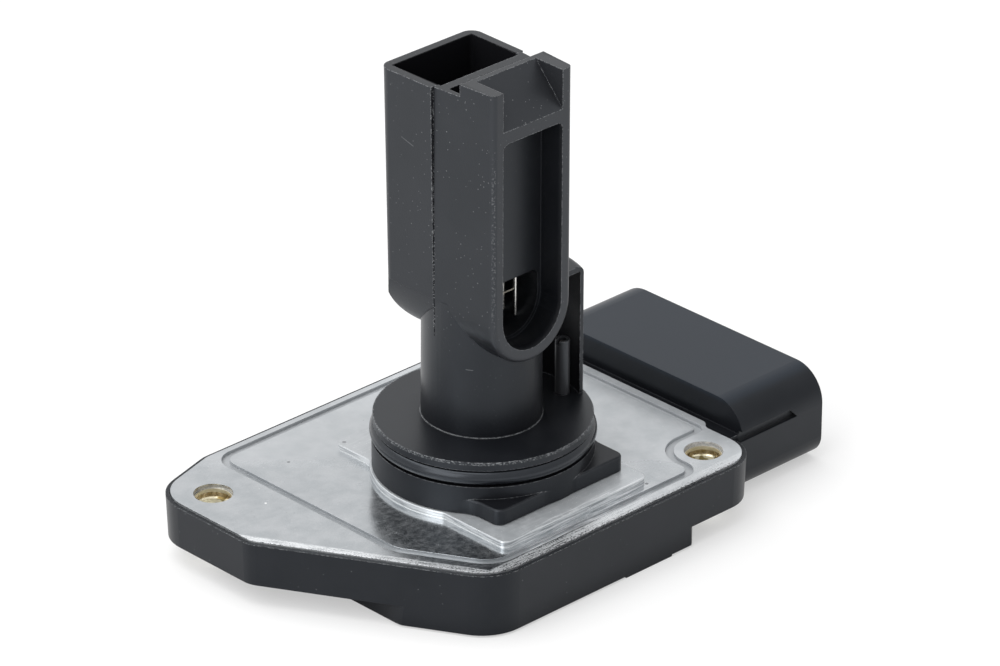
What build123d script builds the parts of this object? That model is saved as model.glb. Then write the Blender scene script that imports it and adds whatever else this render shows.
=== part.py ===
from build123d import *
from math import radians, sin, sqrt, tan
import os

# Plug-in mass airflow sensor for an engine intake duct. Millimetres, +Z up.
# The origin is on the axis of the probe, level with the top face of the seating plate.
# The connector points along +X, and air enters the probe on its -Y side.

# Seating plate, pressed aluminium
plate_left = 43.8
plate_right = 37.5
plate_back = 33.85
plate_front = 27.25
plate_thickness = 1.2
diagonal_top = 8.05
diagonal_angle = 60
back_slope_length = 13.6
back_slope_angle = 15.5
front_left_radius = 8.0
back_left_radius = 7.0
back_slope_radius = 5.0
back_right_radius = 4.0
diagonal_radius = 4.0
ear_inset = 1.3
ear_step = 14.75
ear_step_radius = 1.5
ear_radius = 6.2
screw_left_x = 37.65
screw_left_y = 23.85
screw_right_x = 30.1
screw_right_y = 20.85
screw_hole_radius = 3.25

# Raised pad in the middle of the plate, under the probe
pad_left_step = 2.4
pad_right_step = 1.0
pad_front = 22.3
pad_back = 21.65
pad_back_half_width = 13.0
pad_front_radius = 1.5
pad_back_radius = 1.5
pad_margin = 0.3
pad_blend = 2.0
pad_height = 1.15

# Bead pressed into the plate, a groove above and a rib below
bead_width = 1.4
bead_depth = 0.55
bead_left = 29.3
bead_margin_front = 2.75
bead_margin_back = 1.8
bead_margin_right = 2.2
bead_margin_diagonal = 3.55
bead_screw_radius = 5.6
rib_width = 0.9

# Sealant channel in the tray, under the bead
seal_width = 2.2
seal_depth = 1.4

# Tray, moulded plastic
rim_drop = 0.35
plate_gap = 0.1
tray_overhang = 0.8
tray_draft = 2.2
ear_depth = 7.85
tray_depth = 11.35
tray_left = 31.65
tray_notch = 22.25
tray_notch_back = 14.35
tray_wall = 5.6
tray_floor = 1.8
tray_corner = 3.3
rest_pad_start = 5.6
rest_pad_length = 10.5
rest_pad_width = 9.0
rest_pad_height = 0.3

# Connector shroud on the tray
connector_gap = 1.4
connector_length = 19.1
connector_front = 21.35
connector_back = 26.35
connector_top = 4.8
connector_upper_radius = 6.0
connector_lower_radius = 4.0
connector_wall = 2.0
connector_end_wall = 3.2
guide_centre = -0.6
guide_width = 1.6
guide_depth = 0.9
guide_length = 13.0

# Brass sleeves in the screw holes
sleeve_radius = 4.3
sleeve_bore_radius = 2.65
sleeve_mouth_radius = 3.0
sleeve_mouth_depth = 1.6
sleeve_rise = 0.4
sleeve_gap = 0.05

# Probe foot, seal boss and column
glue_thickness = 0.1
glue_inset = 0.3
foot_side_step = 4.0
foot_shift = 0.5
foot_front_step = 0.2
foot_top = 3.95
foot_corner = 1.6
foot_edge = 0.4
foot_blend = 6.0
boss_radius = 18.2
boss_top = 6.15
disc_step = 0.2
disc_thickness = 1.5
ring_section = 1.3
ring_stand_out = 0.35
ring_side_gap = 0.1
column_radius = 9.65
column_draft = 0.35
column_stretch = 0.8
spigot_radius = 12.0
spigot_depth = 2.0
spigot_gap = 0.2

# Front duct of the probe, a deep U seen from the front
duct_axis = 33.55
duct_half_width = 9.6
duct_front_half_width = 8.6
duct_front = 11.25
duct_front_axis = 32.35
duct_seam = 1.5
duct_edge_radius = 0.9
duct_top = 70.95
hood_back = 4.1
hood_rise = 2.05
hood_flat = 1.0
hood_drop = 6.85
window_half_width = 6.5
window_axis = 32.6
window_top = 63.95
window_corner = 1.2
partition_front = 6.45
throat_half_width = 5.9
throat_headroom = 0.7
throat_corner = 1.2
slot_back = 0.85
slot_bottom = 38.95
slot_side_wall = 0.7

# Channel cover, the rear half of the duct
cover_half_width = 9.6
cover_back = 12.9
cover_wall = 1.6
cover_flare = 0.2
cover_draft = 0.77
cover_corner = 1.6
cover_inner_corner = 0.15
cover_heel_radius = 9.2
channel_front = 0.9

# Guard and post of the air temperature sensor
guard_step = 0.45
guard_half_depth = 6.5
guard_leg = 0.75
guard_slab = 1.0
guard_top = 33.7
guard_corner = 1.4
post_gap = 2.95
post_y = 4.2
post_radius = 1.22
post_top = 20.25
post_notch = 0.8
thermistor_radius = 0.7
thermistor_length = 3.6
thermistor_recess = 0.4

# Measuring elements in the throat
prong_radius = 0.33
prong_spacing = 8.1
prong_centre = -0.25
prong_tail = 3.25
heated_y = 3.4
reference_y = 0.6
element_rise = 0.1
wire_radius = 0.14
element_radius = 0.4
element_length = 2.4

# Terminals and circuit board
terminal_count = 5
terminal_pitch = 4.4
terminal_width = 2.0
terminal_thickness = 0.8
terminal_reach = 12.0
terminal_lap = 5.0
terminal_headroom = 0.2
terminal_tip = 0.3
board_thickness = 1.2
board_gap = 1.2
standoff_radius = 2.4
chip_size = 9.0
chip_height = 1.5
capacitor_length = 3.2
capacitor_width = 2.5
capacitor_height = 1.4

# Levels and places that follow from the sizes above
slope = tan(radians(diagonal_angle))
plate_bottom = -plate_thickness
ear_right = plate_right - ear_inset
foot_half_width = boss_radius - foot_side_step
foot_front = boss_radius - foot_front_step
foot_bottom = pad_height + glue_thickness
pad_left = foot_half_width + pad_left_step
pad_right = foot_half_width + foot_shift + pad_right_step
disc_bottom = boss_top + 2 * (ring_section + ring_side_gap)
disc_top = disc_bottom + disc_thickness
ring_height = (boss_top + disc_bottom) / 2
ring_radius = boss_radius + ring_stand_out - ring_section
disc_radius = boss_radius - disc_step
guard_radius = disc_radius - guard_step
post_x = guard_radius - guard_leg - post_gap
hood_top = duct_top + hood_rise
element_height = window_axis + element_rise
prong_top = element_height + prong_tail
throat_top = prong_top + throat_headroom
tray_right = plate_right + tray_overhang
tray_bottom_inset = (tray_depth - rim_drop) * tan(radians(tray_draft))
connector_rear = plate_right + connector_gap
connector_mouth = connector_rear + connector_length
connector_centre_y = (connector_back - connector_front) / 2
board_top = plate_bottom - seal_depth - terminal_headroom - terminal_thickness
board_right = tray_right - tray_wall - board_gap
tray_floor_level = tray_floor - tray_depth
screw_places = {"left": (-screw_left_x, screw_left_y), "right": (screw_right_x, -screw_right_y)}
prong_places = {
    "heated_prong_left": (prong_centre - prong_spacing / 2, -heated_y),
    "heated_prong_right": (prong_centre + prong_spacing / 2, -heated_y),
    "reference_prong_left": (prong_centre - prong_spacing / 2, -reference_y),
    "reference_prong_right": (prong_centre + prong_spacing / 2, -reference_y),
}


def diagonal_x(y, shift):
    """Where the diagonal edge of the plate, moved inward by a shift, crosses a height in plan."""
    return -plate_left + shift / sin(radians(diagonal_angle)) + (diagonal_top - y) / slope


def diagonal_y(x, shift):
    """Where the diagonal edge of the plate, moved inward by a shift, crosses a width in plan."""
    return diagonal_top - (x + plate_left - shift / sin(radians(diagonal_angle))) * slope


def rounded_face(corners, turns):
    """Closed flat face through corners, each with its own radius."""
    with BuildSketch() as face:
        with BuildLine():
            FilletPolyline(*corners, radius=turns, close=True)
        make_face()
    return face.sketch


def plate_outline(overhang):
    """Outline of the plate with its two screw ears, grown by an overhang."""
    back_drop = back_slope_length * tan(radians(back_slope_angle))
    corners = [
        (diagonal_x(-plate_front, 0), -plate_front),
        (ear_right, -plate_front),
        (ear_right, -ear_step - ear_inset / 2),
        (plate_right, -ear_step + ear_inset / 2),
        (plate_right, plate_back),
        (-plate_left + back_slope_length, plate_back),
        (-plate_left, plate_back - back_drop),
        (-plate_left, diagonal_top),
    ]
    turns = [
        front_left_radius,
        ear_radius,
        ear_step_radius,
        ear_step_radius,
        back_right_radius,
        back_slope_radius,
        back_left_radius,
        diagonal_radius,
    ]
    with BuildSketch() as outline:
        add(rounded_face(corners, turns))
        if overhang:
            offset(amount=overhang)
    return outline.sketch


def bead_band(width):
    """Closed band that follows the bead round the plate and keeps clear of both screw ears."""
    front = bead_margin_front - plate_front
    back = plate_back - bead_margin_back
    right = plate_right - bead_margin_right
    corners = [
        (diagonal_x(front, bead_margin_diagonal), front),
        (screw_right_x - bead_screw_radius, front),
        (screw_right_x - bead_screw_radius, bead_screw_radius - screw_right_y),
        (right, bead_screw_radius - screw_right_y),
        (right, back),
        (-bead_left, back),
        (-bead_left, diagonal_y(-bead_left, bead_margin_diagonal)),
    ]
    path = rounded_face(corners, [6.0, 2.5, bead_screw_radius, 1.3, 3.0, 3.0, 6.0])
    with BuildSketch() as band:
        offset(path, amount=width / 2, mode=Mode.ADD)
        offset(path, amount=-width / 2, mode=Mode.SUBTRACT)
    return band.sketch


def tray_outline(inset):
    """Outline of the deep middle of the tray, between the screw ears, drawn in by an inset."""
    front = -plate_front - tray_overhang
    back = plate_back + tray_overhang
    corners = [
        (diagonal_x(front, -tray_overhang), front),
        (tray_notch, front),
        (tray_notch, -tray_notch_back),
        (tray_right, -tray_notch_back),
        (tray_right, back),
        (-tray_left, back),
        (-tray_left, diagonal_y(-tray_left, -tray_overhang)),
    ]
    turns = [
        front_left_radius,
        tray_corner,
        tray_corner,
        tray_corner,
        back_right_radius,
        tray_corner,
        front_left_radius,
    ]
    with BuildSketch() as outline:
        add(rounded_face(corners, turns))
        if inset:
            offset(amount=-inset)
    return outline.sketch


def connector_outline(inset):
    """Mouth of the connector seen along X, drawn in by a wall."""
    corners = [
        (-connector_front, -tray_depth),
        (connector_back, -tray_depth),
        (connector_back, connector_top),
        (-connector_front, connector_top),
    ]
    low, high = connector_lower_radius, connector_upper_radius
    with BuildSketch() as outline:
        add(rounded_face(corners, [low, low, high, high]))
        if inset:
            offset(amount=-inset)
    return outline.sketch


def corners_on_circle(corners, radius):
    """Corners where straight sides leave a circle about the origin, away from its ends along X."""
    return corners.filter_by(lambda v: abs(sqrt(v.X**2 + v.Y**2) - radius) < 0.01 and abs(v.Y) > 1)


def foot_outline(overhang):
    """Round boss with the square foot that reaches forward from it."""
    with BuildSketch() as outline:
        with Locations((foot_shift, -foot_front)):
            Rectangle(2 * foot_half_width, foot_front, align=(Align.CENTER, Align.MIN))
        fillet(outline.vertices().group_by(Axis.Y)[0], radius=foot_corner)
        Circle(boss_radius)
        fillet(corners_on_circle(outline.vertices(), boss_radius), radius=foot_blend)
        if overhang:
            offset(amount=overhang)
    return outline.sketch


def u_profile(half_width, axis_height, top):
    """Deep U with straight sides and a half-round bottom."""
    with BuildSketch() as profile:
        with BuildLine():
            Polyline(
                (-half_width, axis_height),
                (-half_width, top),
                (half_width, top),
                (half_width, axis_height),
            )
            ThreePointArc(
                (half_width, axis_height), (0, axis_height - half_width), (-half_width, axis_height)
            )
        make_face()
    return profile.sketch


def channel_body(inset, front, top):
    """Rear half of the duct as a solid: half-round below, drafted above, open face forward."""
    half_width = cover_half_width - inset
    back = cover_back - inset
    with BuildSketch() as plan:
        with BuildLine():
            FilletPolyline(
                (half_width, front),
                (half_width + cover_flare, back),
                (-half_width - cover_flare, back),
                (-half_width, front),
                radius=cover_corner if inset == 0 else cover_inner_corner,
            )
            Line((-half_width, front), (half_width, front))
        make_face()
    with BuildPart() as body:
        with BuildSketch(Plane.YZ.offset(-half_width)):
            with BuildLine():
                FilletPolyline(
                    (front, duct_axis - half_width),
                    (back, duct_axis - half_width),
                    (back, duct_axis),
                    radius=cover_heel_radius - inset,
                )
                Polyline((back, duct_axis), (front, duct_axis), (front, duct_axis - half_width))
            make_face()
        extrude(amount=2 * half_width)
        with BuildSketch(Plane.XZ.offset(-front)):
            with Locations((0, duct_axis)):
                Circle(half_width)
        extrude(amount=front - back, mode=Mode.INTERSECT)
        with BuildSketch(Plane.XY.offset(duct_axis)):
            add(plan.sketch)
        extrude(amount=-half_width, mode=Mode.INTERSECT)
        with BuildSketch(Plane.XY.offset(duct_axis)):
            add(plan.sketch)
        extrude(amount=top - duct_axis, taper=-cover_draft)
        split(bisect_by=Plane.XZ.offset(-front), keep=Keep.BOTTOM)
    return body.part


# Tray with the connector shroud, one moulding
with BuildPart() as housing_tray:
    with BuildSketch(Plane.XY.offset(-rim_drop)):
        add(plate_outline(tray_overhang))
    extrude(amount=rim_drop - tray_depth, taper=tray_draft)
    # the two screw ears are shallower than the middle
    with BuildSketch(Plane.XY.offset(-ear_depth)):
        Rectangle(4 * plate_left, 4 * plate_back)
        add(tray_outline(0), mode=Mode.SUBTRACT)
    extrude(amount=ear_depth - tray_depth, mode=Mode.SUBTRACT)
    # the shroud stands behind the plate's right edge and its root runs under the plate
    with BuildSketch(Plane.YZ.offset(connector_rear)):
        add(connector_outline(0))
    extrude(amount=connector_length)
    with BuildSketch(Plane.YZ.offset(ear_right)):
        add(connector_outline(0))
        with Locations((connector_centre_y, -rim_drop)):
            Rectangle(4 * plate_back, tray_depth, align=(Align.CENTER, Align.MIN), mode=Mode.SUBTRACT)
    extrude(amount=connector_rear - ear_right)
    # seat of the plate, with a low rim round it
    with BuildSketch(Plane.XY.offset(plate_bottom)):
        add(plate_outline(plate_gap))
    extrude(amount=plate_thickness, mode=Mode.SUBTRACT)
    # rest pad under the front edge
    with BuildSketch(Plane.XY.offset(-tray_depth)):
        with Locations((rest_pad_start, tray_bottom_inset - tray_overhang - plate_front)):
            Rectangle(rest_pad_length, rest_pad_width, align=(Align.MIN, Align.MIN))
    extrude(amount=-rest_pad_height)
    # electronics well
    with BuildSketch(Plane.XY.offset(plate_bottom)):
        add(tray_outline(tray_wall))
    extrude(amount=tray_floor_level - plate_bottom, mode=Mode.SUBTRACT)
    standoff_inset = tray_wall + board_gap + standoff_radius
    standoff_places = [
        (standoff_inset - tray_left, plate_back - standoff_inset),
        (plate_right - standoff_inset, plate_back - standoff_inset),
        (plate_right - standoff_inset, standoff_inset - ear_step),
        (standoff_inset - tray_left, 0),
    ]
    with BuildSketch(Plane.XY.offset(tray_floor_level)):
        with Locations(*standoff_places):
            Circle(standoff_radius)
    extrude(amount=board_top - board_thickness - tray_floor_level)
    # sealant channel and sleeve holes
    with BuildSketch(Plane.XY.offset(plate_bottom)):
        add(bead_band(seal_width))
    extrude(amount=-seal_depth, mode=Mode.SUBTRACT)
    with BuildSketch(Plane.XY.offset(plate_bottom)):
        with Locations(*screw_places.values()):
            Circle(sleeve_radius)
    extrude(amount=-ear_depth, mode=Mode.SUBTRACT)
    # socket and the guide grooves on both sides of the shroud
    with BuildSketch(Plane.YZ.offset(connector_mouth)):
        add(connector_outline(connector_wall))
    extrude(amount=connector_end_wall - connector_length, mode=Mode.SUBTRACT)
    with BuildSketch(Plane.XZ.offset(connector_front)):
        with BuildLine():
            Polyline(
                (ear_right, guide_centre - guide_width / 2),
                (connector_rear + guide_length, guide_centre - guide_width / 2),
                (connector_rear + guide_length - guide_width, guide_centre + guide_width / 2),
                (ear_right, guide_centre + guide_width / 2),
                close=True,
            )
        make_face()
    extrude(amount=-guide_depth, mode=Mode.SUBTRACT)
    with BuildSketch(Plane.XZ.offset(-connector_back)):
        with BuildLine():
            Polyline(
                (ear_right, guide_centre - guide_width / 2),
                (connector_rear + guide_length, guide_centre - guide_width / 2),
                (connector_rear + guide_length - guide_width, guide_centre + guide_width / 2),
                (ear_right, guide_centre + guide_width / 2),
                close=True,
            )
        make_face()
    extrude(amount=guide_depth, mode=Mode.SUBTRACT)
    # terminal slots through the end wall
    with BuildSketch(Plane.YZ.offset(board_right)):
        with Locations((connector_centre_y, board_top)):
            with GridLocations(terminal_pitch, 0, terminal_count, 1):
                Rectangle(terminal_width, terminal_thickness, align=(Align.CENTER, Align.MIN))
    extrude(amount=connector_mouth - board_right, mode=Mode.SUBTRACT)
housing_tray.part.label = "housing_tray"

# Seating plate
with BuildPart() as base_plate:
    with BuildSketch(Plane.XY.offset(plate_bottom)):
        add(plate_outline(0))
    extrude(amount=plate_thickness)
    with BuildSketch() as pad:
        with Locations((-pad_left, -pad_front)):
            Rectangle(pad_left + pad_right, pad_front, align=(Align.MIN, Align.MIN))
        Rectangle(2 * pad_back_half_width, pad_back, align=(Align.CENTER, Align.MIN))
        fillet(pad.vertices().group_by(Axis.Y)[0], radius=pad_front_radius)
        fillet(pad.vertices().group_by(Axis.Y)[-1], radius=pad_back_radius)
        Circle(boss_radius + pad_margin)
        fillet(corners_on_circle(pad.vertices(), boss_radius + pad_margin), radius=pad_blend)
    extrude(amount=pad_height)
    # the pad is pressed up, so its underside is hollow
    with BuildSketch(Plane.XY.offset(plate_bottom)):
        add(pad.sketch)
        offset(amount=-plate_thickness)
    extrude(amount=pad_height, mode=Mode.SUBTRACT)
    with BuildSketch(Plane.XY.offset(plate_bottom)):
        add(bead_band(rib_width))
    extrude(amount=-bead_depth)
    with BuildSketch():
        add(bead_band(bead_width))
    extrude(amount=-bead_depth, mode=Mode.SUBTRACT)
    with BuildSketch(Plane.XY.offset(plate_bottom)):
        Circle(spigot_radius + spigot_gap)
        with Locations(*screw_places.values()):
            Circle(screw_hole_radius)
    extrude(amount=plate_thickness + pad_height, mode=Mode.SUBTRACT)
base_plate.part.label = "base_plate"

# Sealant between the plate and the tray
with BuildPart() as plate_seal:
    with BuildSketch(Plane.XY.offset(plate_bottom)):
        add(bead_band(seal_width))
    extrude(amount=-seal_depth)
    with BuildSketch(Plane.XY.offset(plate_bottom)):
        add(bead_band(rib_width))
    extrude(amount=-bead_depth, mode=Mode.SUBTRACT)
plate_seal.part.label = "plate_seal"

# Adhesive bed between the pad and the probe's foot
with BuildPart() as probe_adhesive:
    with BuildSketch(Plane.XY.offset(pad_height)):
        add(foot_outline(-glue_inset))
        Circle(spigot_radius + spigot_gap, mode=Mode.SUBTRACT)
    extrude(amount=glue_thickness)
probe_adhesive.part.label = "probe_adhesive"

# Front shell of the duct with its hood, solid until the air passages are cut
with BuildPart() as duct:
    with BuildSketch(Plane.XZ.offset(-duct_seam)):
        add(u_profile(duct_half_width, duct_axis, hood_top + hood_rise))
    with BuildSketch(Plane.XZ.offset(duct_front)):
        add(u_profile(duct_front_half_width, duct_front_axis, hood_top + hood_rise))
    loft(ruled=True)
    fillet(duct.faces().sort_by(Axis.Y)[0].edges(), radius=duct_edge_radius)
    with BuildSketch(Plane.YZ.offset(-duct_half_width)):
        with BuildLine():
            Polyline(
                (duct_seam, duct_top),
                (-hood_back, duct_top),
                (-hood_back, hood_top),
                (-duct_front, hood_top),
                (-duct_front, hood_top + 2 * hood_rise),
                (duct_seam, hood_top + 2 * hood_rise),
                close=True,
            )
        make_face()
    extrude(amount=2 * duct_half_width, mode=Mode.SUBTRACT)
    # sloping panel between the two side walls
    with BuildSketch(Plane.YZ.offset(-window_half_width)):
        with BuildLine():
            Polyline(
                (-hood_back - hood_flat, hood_top),
                (-duct_front, hood_top),
                (-duct_front, hood_top - hood_drop),
                close=True,
            )
        make_face()
    extrude(amount=2 * window_half_width, mode=Mode.SUBTRACT)

# Guard of the air temperature sensor, a curved wall with a roof, open at both ends
with BuildPart() as guard:
    with BuildSketch(Plane.XY.offset(disc_bottom)):
        Circle(guard_radius)
        with Locations((column_radius / 2, 0)):
            Rectangle(
                2 * guard_radius,
                2 * guard_half_depth,
                align=(Align.MIN, Align.CENTER),
                mode=Mode.INTERSECT,
            )
    extrude(amount=guard_top - disc_bottom)
    roof_edge = guard.faces().sort_by(Axis.Z)[-1].edges().filter_by(GeomType.CIRCLE)
    fillet(roof_edge, radius=guard_corner)
    with BuildSketch(Plane.XY.offset(disc_bottom)):
        Circle(guard_radius - guard_leg)
    extrude(amount=guard_top - guard_slab - disc_bottom, mode=Mode.SUBTRACT)

# Foot of the probe, its upper edges eased
with BuildPart() as foot:
    with BuildSketch(Plane.XY.offset(foot_bottom)):
        add(foot_outline(0))
    extrude(amount=foot_top - foot_bottom)
    fillet(foot.faces().sort_by(Axis.Z)[-1].edges(), radius=foot_edge)

# Probe: foot, seal boss, column, front duct and sensor guard in one moulding
with BuildPart() as probe_body:
    with BuildSketch(Plane.XZ):
        with BuildLine():
            Polyline(
                (0, -spigot_depth),
                (spigot_radius, -spigot_depth),
                (spigot_radius, foot_bottom),
                (boss_radius, foot_bottom),
                (boss_radius, boss_top),
                (ring_radius - ring_section, boss_top),
                (ring_radius - ring_section, disc_bottom),
                (disc_radius, disc_bottom),
                (disc_radius, disc_top),
                (0, disc_top),
                close=True,
            )
        make_face()
    revolve(axis=Axis.Z)
    with BuildSketch(Plane.XY.offset(disc_bottom)):
        with Locations((0, column_stretch / 2)):
            SlotOverall(2 * column_radius + column_stretch, 2 * column_radius, rotation=90)
    extrude(amount=duct_axis - disc_bottom, taper=column_draft)
    add(foot.part)
    add(duct.part)
    add(guard.part)
    with BuildSketch(Plane.XY.offset(disc_top - disc_thickness / 2)):
        with Locations((post_x, -post_y)):
            Circle(post_radius)
    extrude(amount=post_top - disc_top + disc_thickness / 2)
    # seat of the channel cover, then the air passages
    add(channel_body(0, duct_seam, duct_top), mode=Mode.SUBTRACT)
    add(channel_body(cover_wall, channel_front, hood_top), mode=Mode.SUBTRACT)
    with BuildSketch(Plane.XZ.offset(duct_front)):
        window = add(u_profile(window_half_width, window_axis, window_top))
        fillet(window.vertices().group_by(Axis.Y)[-1], radius=window_corner)
    extrude(amount=partition_front - duct_front, mode=Mode.SUBTRACT)
    with BuildSketch(Plane.XZ.offset(partition_front)):
        throat = add(u_profile(throat_half_width, window_axis, throat_top))
        fillet(throat.vertices().group_by(Axis.Y)[-1], radius=throat_corner)
    extrude(amount=-partition_front - channel_front, mode=Mode.SUBTRACT)
    with BuildSketch(Plane.XY.offset(slot_bottom)):
        slot_half_width = (duct_half_width + duct_front_half_width) / 2 - slot_side_wall
        with Locations((0, -slot_back)):
            Rectangle(2 * slot_half_width, hood_back - slot_back, align=(Align.CENTER, Align.MAX))
    extrude(amount=hood_top - slot_bottom, mode=Mode.SUBTRACT)
    with BuildSketch(Plane.XY.offset(-spigot_depth)):
        with Locations(*prong_places.values()):
            Circle(prong_radius)
    extrude(amount=window_axis + spigot_depth, mode=Mode.SUBTRACT)
    # pocket and notch of the temperature sensor's post
    with BuildSketch(Plane.XY.offset(post_top)):
        with Locations((post_x, -post_y)):
            Circle(thermistor_radius)
    extrude(amount=-thermistor_length - thermistor_recess, mode=Mode.SUBTRACT)
    with BuildSketch(Plane.XY.offset(post_top)):
        with Locations((post_x, -post_y)):
            Rectangle(2 * post_radius, post_notch, align=(Align.MAX, Align.CENTER))
    extrude(amount=-post_notch, mode=Mode.SUBTRACT)
probe_body.part.label = "probe_body"

# Channel cover, bonded to the back of the front duct
with BuildPart() as channel_cover:
    add(channel_body(0, duct_seam, duct_top))
    add(channel_body(cover_wall, channel_front, hood_top), mode=Mode.SUBTRACT)
channel_cover.part.label = "channel_cover"

# Seal ring in the groove between boss and disc
with BuildPart() as seal_ring:
    with BuildSketch(Plane.XZ):
        with Locations((ring_radius, ring_height)):
            Circle(ring_section)
    revolve(axis=Axis.Z)
seal_ring.part.label = "seal_ring"

# Temperature sensor bead in the post
with BuildPart() as thermistor:
    with BuildSketch(Plane.XY.offset(post_top - thermistor_recess)):
        with Locations((post_x, -post_y)):
            Circle(thermistor_radius)
    extrude(amount=-thermistor_length)
    fillet(thermistor.faces().sort_by(Axis.Z)[-1].edges(), radius=thermistor_radius / 2)
thermistor.part.label = "thermistor"

# Circuit board on its standoffs
with BuildPart() as circuit_board:
    with BuildSketch(Plane.XY.offset(board_top)):
        add(tray_outline(tray_wall + board_gap))
    extrude(amount=-board_thickness)
circuit_board.part.label = "circuit_board"

# Control chip and two capacitors on the board
with BuildPart() as control_chip:
    with BuildSketch(Plane.XY.offset(board_top)):
        with Locations((-tray_left / 2, plate_back / 2)):
            RectangleRounded(chip_size, chip_size, chip_size / 20)
    extrude(amount=chip_height)
control_chip.part.label = "control_chip"

with BuildPart() as supply_capacitor:
    with BuildSketch(Plane.XY.offset(board_top)):
        with Locations((board_right - terminal_lap - 2 * capacitor_width, plate_back / 2)):
            Rectangle(capacitor_width, capacitor_length)
    extrude(amount=capacitor_height)
    fillet(supply_capacitor.edges(), radius=capacitor_height / 12)
supply_capacitor.part.label = "supply_capacitor"

with BuildPart() as signal_capacitor:
    with BuildSketch(Plane.XY.offset(board_top)):
        with Locations((board_right - terminal_lap - 2 * capacitor_width, 0)):
            Rectangle(capacitor_width, capacitor_length)
    extrude(amount=capacitor_height)
    fillet(signal_capacitor.edges(), radius=capacitor_height / 12)
signal_capacitor.part.label = "signal_capacitor"

# Brass sleeves that carry the screws' clamping force
sleeves = {}
for side, place in screw_places.items():
    with BuildPart() as sleeve:
        with BuildSketch(Plane.XY.offset(-ear_depth)):
            with Locations(place):
                Circle(sleeve_radius)
        extrude(amount=ear_depth - plate_thickness)
        with BuildSketch(Plane.XY.offset(plate_bottom)):
            with Locations(place):
                Circle(screw_hole_radius - sleeve_gap)
        extrude(amount=sleeve_rise)
        with BuildSketch(Plane.XY.offset(-ear_depth)):
            with Locations(place):
                Circle(sleeve_bore_radius)
        extrude(amount=ear_depth, mode=Mode.SUBTRACT)
        with BuildSketch(Plane.XY.offset(plate_bottom + sleeve_rise)):
            with Locations(place):
                Circle(sleeve_mouth_radius)
        extrude(amount=-sleeve_mouth_depth, mode=Mode.SUBTRACT)
    sleeve.part.label = "sleeve_" + side
    sleeves[sleeve.part.label] = sleeve.part

# Prongs that hold the measuring elements
prongs = {}
for name, place in prong_places.items():
    with BuildPart() as prong:
        with BuildSketch(Plane.XY.offset(board_top)):
            with Locations(place):
                Circle(prong_radius)
        extrude(amount=prong_top - board_top)
        fillet(prong.faces().sort_by(Axis.Z)[-1].edges(), radius=prong_radius / 2)
    prong.part.label = name
    prongs[name] = prong.part

# Measuring elements, each a wire between two prongs with a glazed rod at its middle
elements = {}
for name, element_y in {"heated_element": heated_y, "reference_element": reference_y}.items():
    reach = prong_spacing / 2 - prong_radius
    with BuildPart() as element:
        with BuildSketch(Plane.XZ.offset(element_y)):
            with BuildLine():
                Polyline(
                    (prong_centre - reach, element_height),
                    (prong_centre - reach, element_height + wire_radius),
                    (-element_length / 2, element_height + wire_radius),
                    (-element_length / 2 + element_radius / 2, element_height + element_radius),
                    (element_length / 2 - element_radius / 2, element_height + element_radius),
                    (element_length / 2, element_height + wire_radius),
                    (prong_centre + reach, element_height + wire_radius),
                    (prong_centre + reach, element_height),
                    close=True,
                )
            make_face()
        revolve(axis=Axis((0, -element_y, element_height), (1, 0, 0)))
    element.part.label = name
    elements[name] = element.part

# Blade terminals, from the circuit board through the end wall into the socket
terminals = {}
for number in range(terminal_count):
    terminal_y = connector_centre_y + (number - (terminal_count - 1) / 2) * terminal_pitch
    blade_end = connector_rear + connector_end_wall + terminal_reach
    with BuildPart() as terminal:
        with BuildSketch(Plane.XY.offset(board_top)):
            with Locations((board_right - terminal_lap, terminal_y)):
                Rectangle(
                    blade_end - board_right + terminal_lap,
                    terminal_width,
                    align=(Align.MIN, Align.CENTER),
                )
        extrude(amount=terminal_thickness)
        chamfer(terminal.faces().sort_by(Axis.X)[-1].edges(), length=terminal_tip)
    terminal.part.label = f"terminal_{number + 1}"
    terminals[terminal.part.label] = terminal.part

os.makedirs("parts", exist_ok=True)
export_step(housing_tray.part, "parts/housing_tray.step")
export_step(base_plate.part, "parts/base_plate.step")
export_step(plate_seal.part, "parts/plate_seal.step")
export_step(probe_adhesive.part, "parts/probe_adhesive.step")
export_step(probe_body.part, "parts/probe_body.step")
export_step(channel_cover.part, "parts/channel_cover.step")
export_step(seal_ring.part, "parts/seal_ring.step")
export_step(thermistor.part, "parts/thermistor.step")
export_step(circuit_board.part, "parts/circuit_board.step")
export_step(control_chip.part, "parts/control_chip.step")
export_step(supply_capacitor.part, "parts/supply_capacitor.step")
export_step(signal_capacitor.part, "parts/signal_capacitor.step")
for pieces in (sleeves, prongs, elements, terminals):
    for name, piece in pieces.items():
        export_step(piece, f"parts/{name}.step")
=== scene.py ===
import math

import bpy
from mathutils import Matrix, Vector


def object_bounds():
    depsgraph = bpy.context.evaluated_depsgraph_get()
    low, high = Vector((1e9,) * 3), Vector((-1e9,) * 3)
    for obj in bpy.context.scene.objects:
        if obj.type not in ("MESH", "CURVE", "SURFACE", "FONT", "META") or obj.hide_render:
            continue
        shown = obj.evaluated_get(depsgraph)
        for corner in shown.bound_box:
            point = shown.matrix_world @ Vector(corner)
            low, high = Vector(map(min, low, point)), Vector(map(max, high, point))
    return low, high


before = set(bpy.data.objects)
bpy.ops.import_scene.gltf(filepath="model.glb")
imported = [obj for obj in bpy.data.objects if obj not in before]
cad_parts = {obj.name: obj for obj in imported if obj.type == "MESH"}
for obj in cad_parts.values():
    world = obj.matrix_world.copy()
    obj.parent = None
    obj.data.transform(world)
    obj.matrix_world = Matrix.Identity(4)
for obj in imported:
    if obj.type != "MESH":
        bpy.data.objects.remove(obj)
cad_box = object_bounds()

MM = 0.001
scene = bpy.context.scene
scene.view_settings.view_transform = "Standard"

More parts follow.
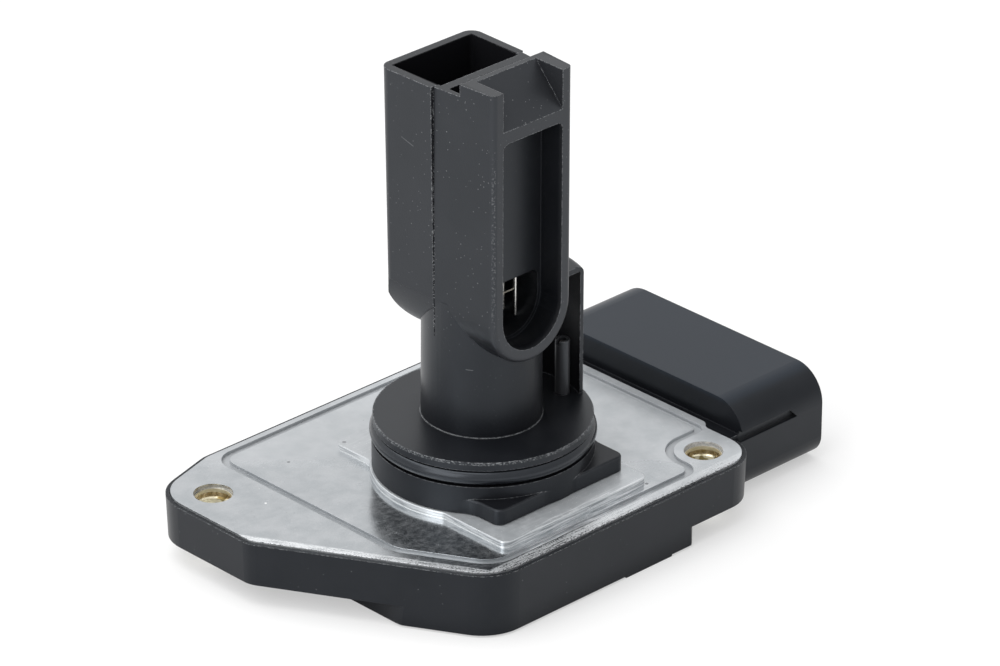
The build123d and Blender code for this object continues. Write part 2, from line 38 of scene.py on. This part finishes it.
# Places on the sensor, in millimetres in the frame's own axes.
PLATE_LEFT = 43.8
PLATE_FRONT = 27.25
DIAGONAL_TOP = 8.05
DIAGONAL_ANGLE = 60.0
PLATE_BOTTOM = -1.2
SCREWS = ((-37.65, 23.85), (30.1, -20.85))
SCREW_SEAT = 3.4
PAD_TOP = 1.15
CONNECTOR_START = 38.3
GUIDE_END = 52.2
GUIDE_DEPTH = (-20.95, -20.3)
GUIDE_CENTRE = -0.6
FOOT_TOP = 3.95
BOSS_TOP = 6.15
BOSS_RADIUS = 18.2
DISC_RADIUS = 18.0
DISC_TOP = 10.45
COLUMN_RADIUS = 9.65
COLUMN_STRETCH = 0.8
POST = (13.85, -4.2)
POST_TOP = 20.25
GUARD_INSIDE = 16.3
DUCT_LEFT = -9.0
DUCT_EDGE = (-8.5, -11.15)
SEAM = 1.5
WINDOW_HALF_WIDTH = 6.7
WINDOW_DEPTH = (-10.7, 1.0)
WINDOW_HEIGHT = (26.0, 63.8)
COVER_INSIDE_HALF_WIDTH = 8.75
COVER_INSIDE_BACK = 11.95
COVER_INSIDE_HEIGHT = (34.0, 72.4)

# Level directions across the plate, each of length one.
TO_FRONT_RIGHT = (0.718, -0.695)
TO_BACK_RIGHT = (0.695, 0.718)

BLUE_SHEEN = (0.84, 0.91, 1.0)
PAINTED_SHADE_BLACK = (0.006, 0.006, 0.007, 1.0)
PALE_GREY = (0.85, 0.85, 0.85, 1.0)
WHITE = (1.0, 1.0, 1.0, 1.0)


# ---------------------------------------------------------------- shader maths


class Field:
    """An output socket of a shader node. Arithmetic on it adds Math nodes."""

    def __init__(self, tree, link):
        self.tree = tree
        self.link = link

    def math(self, operation, *values):
        return add_node(self.tree, "ShaderNodeMath", {"operation": operation}, dict(enumerate(values)))

    def __add__(self, other):
        return self.math("ADD", self, other)

    def __radd__(self, other):
        return self.math("ADD", other, self)

    def __sub__(self, other):
        return self.math("SUBTRACT", self, other)

    def __rsub__(self, other):
        return self.math("SUBTRACT", other, self)

    def __mul__(self, other):
        return self.math("MULTIPLY", self, other)

    def __rmul__(self, other):
        return self.math("MULTIPLY", other, self)

    def __truediv__(self, other):
        return self.math("DIVIDE", self, other)

    def __abs__(self):
        return self.math("ABSOLUTE", self)

    def __gt__(self, other):
        return self.math("GREATER_THAN", self, other)

    def __lt__(self, other):
        return self.math("LESS_THAN", self, other)

    def power(self, exponent):
        return self.math("POWER", self, exponent)

    def least(self, other):
        return self.math("MINIMUM", self, other)

    def most(self, *others):
        """The greatest of this field and the others."""
        greatest = self
        for other in others:
            greatest = self.math("MAXIMUM", greatest, other)
        return greatest

    def within(self, low, high):
        """1 between low and high, 0 outside."""
        return (self > low) * (self < high)

    def near(self, value, reach):
        """1 less than a reach away from a value, 0 elsewhere."""
        return abs(self - value) < reach

    def ramp(self, low, high):
        """0 below low, 1 above high, smooth between them; high may be the smaller one."""
        return add_node(
            self.tree,
            "ShaderNodeMapRange",
            {"interpolation_type": "SMOOTHSTEP"},
            {"Value": self, "From Min": low, "From Max": high},
        )


def add_node(tree, kind, settings=None, sockets=None, output=0):
    """Adds a node, sets its settings, then gives its sockets their values or links."""
    added = tree.nodes.new(kind)
    for name, value in (settings or {}).items():
        setattr(added, name, value)
    for name, value in (sockets or {}).items():
        if isinstance(value, Field):
            tree.links.new(value.link, added.inputs[name])
        else:
            added.inputs[name].default_value = value
    return Field(tree, added.outputs[output]) if added.outputs else None


def along(x, y, direction):
    """Distance along a level direction: x times its first part plus y times its second."""
    return direction[0] * x + direction[1] * y


def apart(x, y, place):
    """Square of the level distance from a place: its distance in x squared plus that in y squared."""
    return (x - place[0]) * (x - place[0]) + (y - place[1]) * (y - place[1])


class Finish:
    """A material under construction: coordinates, noises, mixes and the final shader.

    place holds object coordinates in metres; x, y and z are the same in millimetres.
    """

    def __init__(self, name):
        self.material = bpy.data.materials.new(name)
        self.material.use_nodes = True
        self.tree = self.material.node_tree
        self.tree.nodes.clear()
        self.place = self.node("ShaderNodeTexCoord", output="Object")
        split = self.node("ShaderNodeSeparateXYZ", sockets={"Vector": self.place})
        self.x, self.y, self.z = (Field(self.tree, split.link.node.outputs[axis]) / MM for axis in "XYZ")

    def node(self, kind, settings=None, sockets=None, output=0):
        return add_node(self.tree, kind, settings, sockets, output)

    def stretched(self, x, y, z):
        """Object coordinates scaled along each axis."""
        return self.node("ShaderNodeVectorMath", {"operation": "MULTIPLY"}, {0: self.place, 1: (x, y, z)})

    def moved(self, distance):
        """Object coordinates shifted by a distance in metres, so that two noises differ."""
        return self.node("ShaderNodeVectorMath", {"operation": "ADD"}, {0: self.place, 1: (distance,) * 3})

    def noise(self, scale, detail=2.0, roughness=0.5, where=None):
        """Value noise about 0.5; scale is in cycles per millimetre."""
        return self.node(
            "ShaderNodeTexNoise",
            {"noise_dimensions": "3D"},
            {"Vector": where or self.place, "Scale": scale / MM, "Detail": detail, "Roughness": roughness},
        )

    def specks(self, scale, radius, share, where=None):
        """Round specks of mixed strength, each in a cell of its own.

        scale is in cells per millimetre, radius in millimetres, and share is how many cells hold a speck.
        """
        nearest = self.node(
            "ShaderNodeTexVoronoi",
            {"feature": "F1"},
            {"Vector": where or self.place, "Scale": scale / MM, "Randomness": 1.0},
            "Distance",
        )
        colour = Field(self.tree, nearest.link.node.outputs["Color"])
        chance = self.node("ShaderNodeTexWhiteNoise", {"noise_dimensions": "3D"}, {"Vector": colour})
        strength = Field(self.tree, chance.link.node.outputs["Color"])
        return (nearest < radius * scale) * (chance < share) * (0.3 + 0.7 * strength)

    def spot(self, place, radius):
        """1 inside an upright round column at a place, both in millimetres."""
        return apart(self.x, self.y, place) < radius**2

    def mix(self, factor, low, high):
        """Colour that goes from low to high as the factor goes from 0 to 1."""
        mixed = self.node("ShaderNodeMix", {"data_type": "RGBA"})
        mix_node = mixed.link.node
        for index, value in ((0, factor), (6, low), (7, high)):
            if isinstance(value, Field):
                self.tree.links.new(value.link, mix_node.inputs[index])
            elif index:
                mix_node.inputs[index].default_value = (*value, 1.0)
            else:
                mix_node.inputs[index].default_value = value
        return Field(self.tree, mix_node.outputs[2])

    def coated(self, ground, *coats):
        """A ground colour under several coats, each a factor and a colour, the last one on top."""
        for factor, colour in coats:
            ground = self.mix(factor, ground, colour)
        return ground

    def sky(self, reach):
        """How open a point is: 1 on open ground, 0 deep in a crevice of a reach in millimetres."""
        return self.node("ShaderNodeAmbientOcclusion", {"samples": 5}, {"Distance": reach * MM}, "AO")

    def rounded(self, radius):
        """Surface normal with its edges rounded by a radius in millimetres."""
        return self.node("ShaderNodeBevel", {"samples": 4}, {"Radius": radius * MM})

    def edge_mask(self, rounded_normal):
        """1 less the cosine of the lean between the rounded normal and the true one: 0 on flat ground."""
        true_normal = self.node("ShaderNodeNewGeometry", output="True Normal")
        sockets = {0: rounded_normal, 1: true_normal}
        return 1.0 - self.node("ShaderNodeVectorMath", {"operation": "DOT_PRODUCT"}, sockets, "Value")

    def bump(self, height, depth, normal=None):
        """Normal of a surface raised by a height of 0 to 1 times a depth in millimetres."""
        sockets = {"Height": height, "Distance": depth * MM, "Strength": 1.0}
        if normal:
            sockets["Normal"] = normal
        return self.node("ShaderNodeBump", None, sockets)

    def shader(self, normal, **sockets):
        """A Principled shader; a triple becomes a colour."""
        values = {name.replace("_", " "): value for name, value in sockets.items()}
        for name, value in values.items():
            if isinstance(value, tuple):
                values[name] = (*value, 1.0)
        return self.node("ShaderNodeBsdfPrincipled", None, {**values, "Normal": normal})

    def ended(self, shader):
        """Joins a shader to the material's output."""
        self.node("ShaderNodeOutputMaterial", None, {"Surface": shader})
        return self.material

    def blended(self, factor, first, second):
        """Ends the material in the first shader where the factor is 0 and in the second where it is 1."""
        return self.ended(self.node("ShaderNodeMixShader", None, {0: factor, 1: first, 2: second}))


def paint(names, material):
    """Gives CAD nodes their material."""
    for name in names:
        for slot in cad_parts[name].material_slots:
            slot.material = material


# ------------------------------------------------------------------- materials


def moulded_plastic(name, zones, seed, dusted, ior, painted_light_colour):
    """Black moulded plastic: fine grain, faint clouds, dust, and speckled burrs on open edges.

    zones gives where burrs and dust lie, what marks there are, and where shade and light are painted.
    seed moves the noises, dusted is the share of cells with a speck, and the colour is that of the painted
    light.
    """
    skin = Finish(name)
    moved = skin.moved(seed)
    sky = skin.sky(9.0)
    grain = skin.noise(5.0, 2.0, 0.6, moved)
    clouds = skin.noise(0.10, 3.0, 0.55, moved)
    patches = skin.noise(0.07, 2.0, 0.5, moved).ramp(0.36, 0.56)
    crumbs = skin.noise(3.0, 3.0, 0.75, moved)
    burred, dusty, marks, dark, painted_light = zones(skin.x, skin.y, skin.z, sky, crumbs)
    specks = skin.specks(2.1, 0.085, dusted, moved)
    dust = specks * (0.6 + 0.4 * patches) * sky.ramp(0.55, 0.8) * dusty * 0.65
    soft = skin.rounded(0.22)
    edges = skin.edge_mask(soft).ramp(0.012, 0.06)
    burr = edges * crumbs.ramp(0.44, 0.56) * sky.ramp(0.40, 0.58) * burred * 0.8
    # burrs, dust and marks; on the tray the marks are painted light in the guide groove
    wear_and_groove_light = burr.most(dust, marks)
    ground = skin.mix(clouds.ramp(0.3, 0.7), (0.0046, 0.0052, 0.0068), (0.0074, 0.0080, 0.0100))
    # painted light lifts the ground colour first; burrs, dust and marks go on top
    shine = skin.shader(
        skin.bump(0.7 * grain + 0.5 * wear_and_groove_light, 0.02, soft),
        Base_Color=skin.coated(ground, (painted_light, painted_light_colour), (wear_and_groove_light, (0.30, 0.31, 0.32))),
        Roughness=0.30 + 0.10 * clouds + 0.3 * wear_and_groove_light,
        IOR=ior,
        Specular_Tint=BLUE_SHEEN,
    )
    # painted shade: where the zones ask for it, the surface mixes towards this matt black
    matt = skin.node("ShaderNodeBsdfDiffuse", None, {"Color": PAINTED_SHADE_BLACK})
    return skin.blended(dark, shine, matt)


def crevices(sky):
    """Shade of deep places."""
    return sky.ramp(0.62, 0.18) * 0.85


def seam_crumbs(x, y, z, crumbs):
    """Bright crumbs along the bonded seam of duct and cover, on the left side."""
    return y.near(SEAM, 0.2) * (x < DUCT_LEFT) * (z > 28.0) * crumbs.ramp(0.54, 0.62) * 0.5


def tray_zones(x, y, z, sky, crumbs):
    """Burrs on the upper rim only, hardly any dust, a painted bluish sheen on the connector's upper part,
    and painted light that makes the shaded guide groove paler.
    """
    connector = x.ramp(CONNECTOR_START, 39.0)
    tray = 1.0 - connector
    rim = (z > PLATE_BOTTOM) * tray * crumbs.ramp(0.46, 0.56)
    # painted light: a pale coat in the guide groove lifts the shade that falls in it
    guide = connector * (x < GUIDE_END) * y.within(*GUIDE_DEPTH) * z.near(GUIDE_CENTRE, 0.85)
    # painted shade in crevices, mostly left off the connector
    dark = crevices(sky) * (1.0 - connector * 0.9)
    # painted sheen: the connector's upper part is lifted towards blue, as bluish light from above and behind
    # would tint it
    painted_light = connector * z.ramp(3.8, 4.75) * 0.25
    return rim, tray, guide * 0.06, dark, painted_light


def cover_zones(x, y, z, sky, crumbs):
    """Painted shade that makes the inside nearly black, and one short scratch on the left side."""
    inside = (abs(x) < COVER_INSIDE_HALF_WIDTH) * (y < COVER_INSIDE_BACK) * z.within(*COVER_INSIDE_HEIGHT)
    front, back, height = 5.6, 8.3, 60.1
    on_scratch = abs(z - height + 0.3 * (back - y)) < 0.07
    scratch = on_scratch * y.within(front, back) * (x < DUCT_LEFT) * crumbs.ramp(0.40, 0.50)
    marks = seam_crumbs(x, y, z, crumbs).most(scratch * 0.25)
    # painted shade: crevices, and the whole inside mixed towards matt black
    dark = crevices(sky).most(inside * 0.85)
    return z > 36.0, 1.0 - inside, marks, dark, 0.0


def probe_zones(x, y, z, sky, crumbs):
    """Speckled lines on edges and seam, painted shade in crevices, inside the guard and on foot, boss and
    column, and painted light on the front, hood top and post.

    The distance from the axis is the square root of x squared plus y squared. The column is drawn out
    along y, so past is how far y lies past its straight middle, and beyond is the distance from its side.
    """
    window = (abs(x) < WINDOW_HALF_WIDTH) * y.within(*WINDOW_DEPTH) * z.within(*WINDOW_HEIGHT)
    blend = z.within(20.0, 34.0) * (y > -9.0) * (x < 8.0)
    over_disc = z > DISC_TOP + 0.15
    by_post = (apart(x, y, POST) < 1.9) * over_disc * (z < POST_TOP + 0.15)
    from_axis = (x * x + y * y).power(0.5)
    rightwards = along(x, y, TO_FRONT_RIGHT)

    middle = COLUMN_STRETCH / 2
    past = (abs(y - middle) - middle).most(0.0)
    beyond = (x * x + past * past).power(0.5) - COLUMN_RADIUS
    foot_line = z.near(DISC_TOP, 0.14) * beyond.within(-0.2, 0.15) * crumbs.ramp(0.36, 0.52)
    rim_line = from_axis.near(DISC_RADIUS, 0.2) * z.near(DISC_TOP - 0.2, 0.3) * crumbs.ramp(0.50, 0.62)
    duct_edge = (apart(x, y, DUCT_EDGE) < 0.16) * z.ramp(28.0, 40.0) * z.ramp(64.0, 58.0)
    edge_line = duct_edge * crumbs.ramp(0.52, 0.62)
    scratch = z.near(22.7, 0.06) * rightwards.within(-2.8, -1.6) * (x < 0.0)
    seam = seam_crumbs(x, y, z, crumbs)
    marks = (foot_line * 0.45).most(rim_line * 0.6, edge_line * 0.28, seam, scratch * 0.25)

    # painted shade: crevices darkened, less in the window and not by the post
    deep = crevices(sky) * (1.0 - 0.8 * window) * (1.0 - by_post)
    # painted shade inside the guard
    in_guard = from_axis.near(GUARD_INSIDE, 0.7) * (x > 9.0) * z.within(10.7, 32.9) * sky.ramp(1.0, 0.75)
    # the seam's dark gap is a real joint, mixed in with the painted shade
    seam_gap = y.near(SEAM - 0.08, 0.13) * (x < DUCT_LEFT) * (z > 27.0) * crumbs.ramp(0.60, 0.50)
    past_boss = from_axis > BOSS_RADIUS + 0.15
    on_boss = from_axis < BOSS_RADIUS + 0.15
    # painted shade on the foot's top edge and on the boss
    foot_edge = z.near(FOOT_TOP, 0.15) * past_boss
    boss = (z < BOSS_TOP + 0.05) * on_boss
    # painted shade on the column's right side, where the guard shades it
    column_side = rightwards.ramp(2.0, 8.0) * over_disc * (z < 30.0) * (x < 10.0) * (y > -10.0)
    dark = deep.most(in_guard * 0.9, seam_gap * 0.8, foot_edge * 0.3, boss * 0.15, column_side * 0.25)

    # painted light: the duct's front, the hood top and the post are lifted where too little light falls on
    # them
    front = y.ramp(-10.2, -10.9) * (z > 24.0)
    hood_top = z.ramp(64.0, 66.5) * (y < -2.0) * (abs(x) < 8.45)
    painted_light = (front.most(hood_top) * 0.5).most(by_post)
    higher = z.ramp(DISC_TOP + 0.15, DISC_TOP + 1.15) * 0.25 + z.ramp(24.0, 32.0) * 0.75
    dusty = higher * (1.0 - 0.7 * window)
    return 1.0 - window.most(blend), dusty, marks, dark, painted_light


def pressed_plate():
    """Satin aluminium: mottled skin, dark pits, bright specks, a scuffed and painted-bright front margin, a
    painted-bright riser and a painted-dark groove.
    """
    skin = Finish("satin pressed aluminium")
    x, y, z = skin.x, skin.y, skin.z
    mottle = skin.noise(0.22, 4.0, 0.6)
    fine = skin.noise(3.0, 2.0, 0.5)
    smears = skin.noise(0.9, 5.0, 0.7).ramp(0.35, 0.75)
    stains = skin.noise(0.45, 5.0, 0.65).ramp(0.60, 0.72)
    crumbs = skin.noise(3.0, 3.0, 0.75)
    larger_pits = (((-21.7, 23.3), 0.26), ((-11.9, 20.5), 0.35), ((15.3, -22.4), 0.3))
    pits = skin.specks(1.1, 0.09, 0.05).most(*(skin.spot(place, radius) for place, radius in larger_pits))
    sparks = skin.specks(1.4, 0.075, 0.08, skin.moved(0.2)).most(skin.spot((-33.75, 15.5), 0.2))
    screw_seats = skin.spot(SCREWS[0], SCREW_SEAT).most(skin.spot(SCREWS[1], SCREW_SEAT)) * (z < -0.1)

    # scuffed margin between the bead and the front and diagonal edges, painted bright as a lit rounded-down
    # edge and streaked like wear, with nicks along the edges
    slope = math.radians(90.0 - DIAGONAL_ANGLE)
    inward = (x + PLATE_LEFT) * math.cos(slope) - (DIAGONAL_TOP - y) * math.sin(slope)
    across = (y + PLATE_FRONT).least(inward + 0.5)
    lines = skin.node("ShaderNodeCombineXYZ", None, {"X": across * MM, "Y": (x - y) * (0.06 * MM)})
    streaks = skin.noise(3.5, 2.0, 0.6, lines)
    flat = abs(z) < 0.2
    scratched = (0.5 * streaks + 0.5 * crumbs).ramp(0.38, 0.54)
    scuffed_and_lit = flat * across.ramp(2.1, 1.6) * (1.0 - 0.65 * x.ramp(-8.0, 18.0)) * scratched
    nicked = flat * across.ramp(0.85, 0.15) * crumbs.ramp(0.52, 0.42)
    # painted shade: the bead groove below the plate's top is coloured darker, and it is rougher
    groove = z.ramp(-0.08, -0.30)

    # raised pad with specks, and its riser: painted bright as a reflection, with painted highlights along
    # top and foot and fine drawn lines between
    pad = z.ramp(1.0, 1.1)
    by_foot = skin.specks(2.6, 0.08, 0.35) * pad
    riser = z.within(0.02, PAD_TOP - 0.03)
    drawn = skin.noise(5.0, 2.0, 0.6, skin.stretched(0.05, 0.05, 1.0)).ramp(0.42, 0.58)
    riser_highlights = z.ramp(0.75, 1.0).most(z.ramp(0.30, 0.05))

    # duller towards the back and on the pad, and brushed along x on the pad and in front of it
    behind = along(x, y, TO_BACK_RIGHT).ramp(-4.0, 6.0)
    dull = behind.most(pad * 0.88)
    brushed = skin.noise(4.0, 2.0, 0.6, skin.stretched(0.04, 1.0, 1.0)).ramp(0.50, 0.62)
    front_strip = y.ramp(-20.8, -21.8) * y.ramp(-25.6, -24.2)
    lined = (0.15 * pad).most(front_strip) * x.ramp(17.0, 12.0) * x.ramp(-15.0, -12.0) * brushed

    colour = skin.coated(
        skin.mix(mottle.ramp(0.3, 0.7), (0.445, 0.47, 0.49), (0.525, 0.545, 0.565)),
        (stains * 0.25, (0.37, 0.39, 0.41)),
        (scuffed_and_lit * 0.8, (0.84, 0.86, 0.88)),
        (riser * 0.8, skin.mix(riser_highlights.most(drawn * 0.7), (0.36, 0.38, 0.40), (0.95, 0.97, 0.98))),
        (pits * 0.8, (0.10, 0.10, 0.11)),
        (sparks.most(by_foot * 0.8) * 0.9, (0.95, 0.95, 0.95)),
        (screw_seats, skin.mix(crumbs.ramp(0.40, 0.60), (0.40, 0.39, 0.385), (0.93, 0.90, 0.87))),
        (nicked * 0.85, (0.10, 0.10, 0.105)),
        (groove * 0.65, (0.34, 0.355, 0.37)),
        (behind * x.ramp(12.0, -8.0) * 0.35, (0.30, 0.31, 0.32)),
        (lined * 0.4, (0.92, 0.94, 0.96)),
    )
    metal = 1.0 - 0.16 * smears - 0.25 * scuffed_and_lit - 0.3 * sparks - 0.25 * riser - 0.6 * dull
    metal = (metal - 0.3 * groove - 0.35 * lined).most(0.2)
    rough = 0.15 + 0.07 * mottle + 0.18 * scuffed_and_lit + 0.12 * groove + 0.09 * stains + 0.1 * riser + 0.13 * dull
    normal = skin.bump(fine + mottle * 2.0 + scuffed_and_lit, 0.004, skin.rounded(0.10))
    return skin.ended(skin.shader(normal, Base_Color=colour, Metallic=metal, Roughness=rough))


def turned_normal(skin):
    """Normal with fine turning marks, and their height."""
    marks = skin.noise(6.0, 1.0, 0.5, skin.stretched(1, 1, 6))
    return skin.bump(marks, 0.004), marks


def machined_brass():
    """Dull brass: a cream line round its rim, tan under it, and deep in the bore a nearly white painted
    highlight with dark spots.
    """
    skin = Finish("machined brass")
    normal, _ = turned_normal(skin)
    crumbs = skin.noise(2.6, 3.0, 0.75)
    rim = skin.z.ramp(-1.55, -1.25)
    # painted highlight: deep in the bore the colour goes nearly white, with dark spots lower down
    deep = skin.z.ramp(-2.1, -2.4)
    spots = skin.noise(0.55, 1.0, 0.4).ramp(0.50, 0.58) * skin.z.ramp(-6.0, -5.0)
    colour = skin.coated(
        skin.mix(crumbs.ramp(0.35, 0.65), (0.50, 0.40, 0.27), (0.60, 0.50, 0.37)),
        (rim, (0.86, 0.82, 0.70)),
        (deep, skin.mix(spots, (1.0, 0.97, 0.83), (0.40, 0.33, 0.16))),
    )
    brass = skin.shader(normal, Base_Color=colour, Metallic=1.0 - 0.35 * deep, Roughness=0.18 + 0.2 * rim)
    return skin.ended(brass)


def plain_metal(name, colour, roughness):
    """Small machined or drawn metal pieces with fine turning marks."""
    skin = Finish(name)
    normal, marks = turned_normal(skin)
    metal = skin.shader(normal, Base_Color=colour, Metallic=1.0, Roughness=roughness + 0.1 * marks)
    return skin.ended(metal)


def plain_ground(name, colour, roughness):
    """Faintly clouded rubber, sealant, resin, glass or glaze, for the ring and the inner pieces."""
    skin = Finish(name)
    cloud = skin.noise(1.0, 3.0)
    shade = skin.mix(cloud.ramp(0.3, 0.7), [0.8 * channel for channel in colour], colour)
    normal = skin.bump(cloud, 0.01)
    return skin.ended(skin.shader(normal, Base_Color=shade, Roughness=roughness, Specular_Tint=BLUE_SHEEN))


tray_look = {"seed": 0.0, "dusted": 0.02, "ior": 1.36, "painted_light_colour": (0.018, 0.034, 0.058)}
probe_look = {"seed": 0.3, "dusted": 0.12, "ior": 1.46, "painted_light_colour": (0.030, 0.031, 0.034)}
paint(["housing_tray"], moulded_plastic("black tray plastic", tray_zones, **tray_look))
paint(["probe_body"], moulded_plastic("black probe plastic", probe_zones, **probe_look))
paint(["channel_cover"], moulded_plastic("black cover plastic", cover_zones, **probe_look))
paint(["base_plate"], pressed_plate())
paint(["sleeve_left", "sleeve_right"], machined_brass())
for pieces, name, colour, roughness in (
    (["seal_ring"], "satin ring rubber", (0.008, 0.009, 0.0115), 0.24),
    (["plate_seal"], "grey sealant", (0.2, 0.2, 0.21), 0.6),
    (["probe_adhesive"], "grey adhesive", (0.35, 0.35, 0.36), 0.5),
    (["circuit_board"], "green board laminate", (0.02, 0.12, 0.05), 0.45),
    (["control_chip"], "black chip resin", (0.02, 0.02, 0.022), 0.5),
    (["supply_capacitor", "signal_capacitor"], "fired capacitor body", (0.4, 0.3, 0.2), 0.5),
    (["thermistor"], "dark thermistor glass", (0.06, 0.05, 0.045), 0.2),
    (["heated_element", "reference_element"], "glazed element", (0.45, 0.42, 0.36), 0.2),
):
    paint(pieces, plain_ground(name, colour, roughness))
prongs = [f"{pair}_prong_{side}" for pair in ("heated", "reference") for side in ("left", "right")]
terminals = [f"terminal_{number}" for number in range(1, 6)]
paint(prongs, plain_metal("bright prong wire", (0.75, 0.74, 0.71), 0.22))
paint(terminals, plain_metal("tinned terminal", (0.7, 0.7, 0.68), 0.3))


# ------------------------------------------------------- floor, light and camera


def seen_ray(tree):
    """1 for rays of the camera and for those that come by a mirror or through glass."""
    paths = add_node(tree, "ShaderNodeLightPath").link.node.outputs
    kinds = ("Is Camera Ray", "Is Glossy Ray", "Is Transmission Ray")
    camera, glossy, through = (Field(tree, paths[kind]) for kind in kinds)
    return camera.most(glossy, through)


def pale_floor():
    """Flat pale floor a tenth of a millimetre under the lowest point, with a soft shadow."""
    reach = 3.0
    height = cad_box[0][2] - 0.1 * MM
    mesh = bpy.data.meshes.new("floor")
    corners = [(reach * x, reach * y, height) for x, y in ((-1, -1), (1, -1), (1, 1), (-1, 1))]
    mesh.from_pydata(corners, [], [(0, 1, 2, 3)])
    floor = bpy.data.objects.new("floor", mesh)
    scene.collection.objects.link(floor)
    skin = Finish("pale floor")
    matt = skin.node("ShaderNodeBsdfDiffuse", None, {"Color": PALE_GREY})
    glow = skin.node("ShaderNodeEmission", None, {"Color": WHITE, "Strength": 1.0})
    mesh.materials.append(skin.blended(seen_ray(skin.tree) * 0.45, matt, glow))


def studio_world():
    """Even light from all round, a little stronger from behind, above and the left."""
    brighter_side = (-0.45, 0.70, 0.55)
    world = bpy.data.worlds.new("studio")
    scene.world = world
    world.use_nodes = True
    tree = world.node_tree
    tree.nodes.clear()
    sockets = {0: add_node(tree, "ShaderNodeTexCoord", output="Generated"), 1: brighter_side}
    lean = add_node(tree, "ShaderNodeVectorMath", {"operation": "DOT_PRODUCT"}, sockets, "Value")
    level = 0.72 + 0.28 * lean.ramp(-0.8, 0.6)
    light = add_node(tree, "ShaderNodeBackground", None, {"Color": WHITE, "Strength": level})
    add_node(tree, "ShaderNodeOutputWorld", None, {"Surface": light})


def soft_lamp(name, place, aim, size, power):
    """Rectangular studio lamp at a place in metres, turned towards a point."""
    data = bpy.data.lights.new(name, "AREA")
    data.shape = "RECTANGLE"
    data.size, data.size_y = size
    data.energy = power
    lamp = bpy.data.objects.new(name, data)
    scene.collection.objects.link(lamp)
    towards = Vector(aim) - Vector(place)
    lamp.matrix_world = Matrix.Translation(place) @ towards.to_track_quat("-Z", "Y").to_matrix().to_4x4()


def millimetres(x, y, z):
    """A place given in millimetres, as a vector in metres."""
    return Vector((x * MM, y * MM, z * MM))


def studio_camera():
    """Long lens a metre away, 27 degrees above the plate, turned 44 degrees to its left front corner."""
    data = bpy.data.cameras.new("camera")
    data.sensor_width = 36.0
    data.lens = 220.1
    data.clip_start = 0.05
    data.clip_end = 20.0
    camera = bpy.data.objects.new("camera", data)
    scene.collection.objects.link(camera)
    turn, height, roll = -44.09, 27.156, 0.159
    aim = millimetres(-1.4, -1.45, 11.5)
    back_from_aim = millimetres(2.722, 12.593, 990.271)
    view = (
        Matrix.Rotation(math.radians(turn), 4, "Z")
        @ Matrix.Rotation(math.radians(90 - height), 4, "X")
        @ Matrix.Rotation(math.radians(roll), 4, "Z")
    )
    camera.matrix_world = Matrix.Translation(view @ back_from_aim + aim) @ view
    scene.camera = camera


pale_floor()
studio_world()
soft_lamp("overhead softbox", (-0.25, 0.25, 0.9), (0, 0, 0.02), (0.9, 0.9), 5.0)
soft_lamp("left softbox", (-0.9, -0.1, 0.45), (0, 0, 0.03), (0.6, 0.9), 4.0)
studio_camera()
